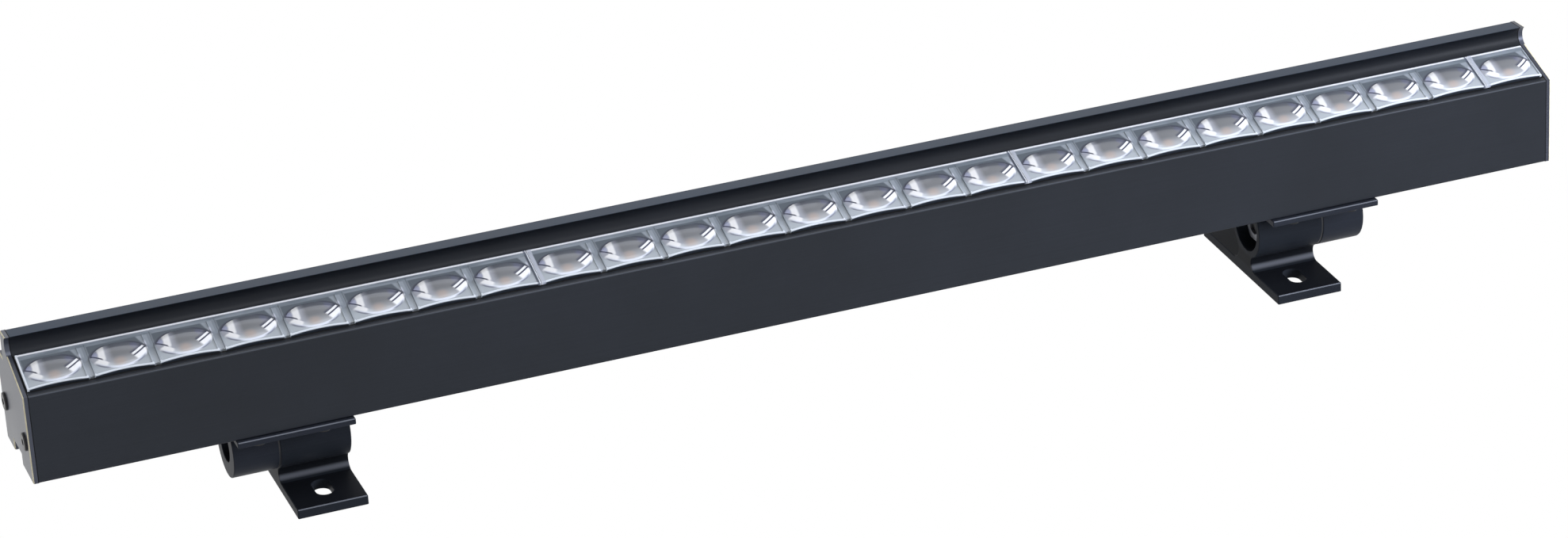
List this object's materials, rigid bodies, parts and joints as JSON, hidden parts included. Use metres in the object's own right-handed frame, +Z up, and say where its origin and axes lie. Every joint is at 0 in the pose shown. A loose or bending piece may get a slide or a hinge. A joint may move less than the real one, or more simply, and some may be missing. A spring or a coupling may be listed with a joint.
{
  "type": "linear wall washer light",
  "caption": "Slim linear wall washer light: black extruded housing, clear lens strip with a raised rear fin, and two tilting bracket feet.",
  "frame": {"origin": "on the mounting surface, at the middle of the footprint of the two feet", "axes": "+X along the light to its right as seen from the front, +Y from the front face to the back, +Z up"},
  "size_m": [0.5052, 0.0576, 0.0683],
  "materials": {
    "black_aluminium": "satin charcoal anodised, slightly bluish",
    "end_plate": "satin charcoal plate with bright cut edges",
    "black_silicone": "matt black silicone",
    "black_screw": "black-coated steel",
    "plated_nut": "dark plated steel",
    "washer_plastic": "black acetal",
    "clear_acrylic": "clear moulded acrylic",
    "white_board": "white solder mask",
    "led_package": "white package with a yellow phosphor",
    "green_board": "green solder mask",
    "driver_parts": "black case",
    "terminal_plastic": "green terminal body",
    "black_nylon": "black nylon"
  },
  "bodies": {
    "luminaire": {"driver_board": "green_board", "driver_capacitors": "driver_parts", "driver_module": "driver_parts", "end_gasket_left": "black_silicone", "end_gasket_right": "black_silicone", "end_plate_left": "end_plate", "end_plate_right": "end_plate", "end_screw_left_front": "black_screw", "end_screw_left_rear": "black_screw", "end_screw_right_front": "black_screw", "end_screw_right_rear": "black_screw", "gland_body": "black_nylon", "gland_nut": "black_nylon", "gland_seal": "black_silicone", "housing": "black_aluminium", "led_board_1": "white_board", "led_board_2": "white_board", "led_board_3": "white_board", "led_board_4": "white_board", "led_row_1": "led_package", "led_row_2": "led_package", "led_row_3": "led_package", "led_row_4": "led_package", "lens_module_1": "clear_acrylic", "lens_module_2": "clear_acrylic", "lens_module_3": "clear_acrylic", "lens_module_4": "clear_acrylic", "lens_seal": "black_silicone", "terminal_block": "terminal_plastic", "vent_plug": "black_nylon"},
    "clip_left": {"clip_left": "black_aluminium", "hinge_bolt_left": "black_screw", "hinge_nut_left": "plated_nut", "hinge_washer_left": "washer_plastic", "lock_screw_left_inner": "black_screw", "lock_screw_left_outer": "black_screw"},
    "foot_left": {"foot_left": "black_aluminium"},
    "clip_right": {"clip_right": "black_aluminium", "hinge_bolt_right": "black_screw", "hinge_nut_right": "plated_nut", "hinge_washer_right": "washer_plastic", "lock_screw_right_inner": "black_screw", "lock_screw_right_outer": "black_screw"},
    "foot_right": {"foot_right": "black_aluminium"}
  },
  "joints": [
    {"name": "clip_left_slide", "type": "slide", "parent": "luminaire", "child": "clip_left", "axis": [1, 0, 0], "range_m": [-0.055, 0.085]},
    {"name": "foot_left_tilt", "type": "hinge", "parent": "clip_left", "child": "foot_left", "pos_m": [-0.16315, -0.0046, 0.0175], "axis": [1, 0, 0], "range_deg": [-55, 75]},
    {"name": "clip_right_slide", "type": "slide", "parent": "luminaire", "child": "clip_right", "axis": [-1, 0, 0], "range_m": [-0.055, 0.085]},
    {"name": "foot_right_tilt", "type": "hinge", "parent": "clip_right", "child": "foot_right", "pos_m": [0.16315, -0.0046, 0.0175], "axis": [1, 0, 0], "range_deg": [-55, 75]}
  ]
}
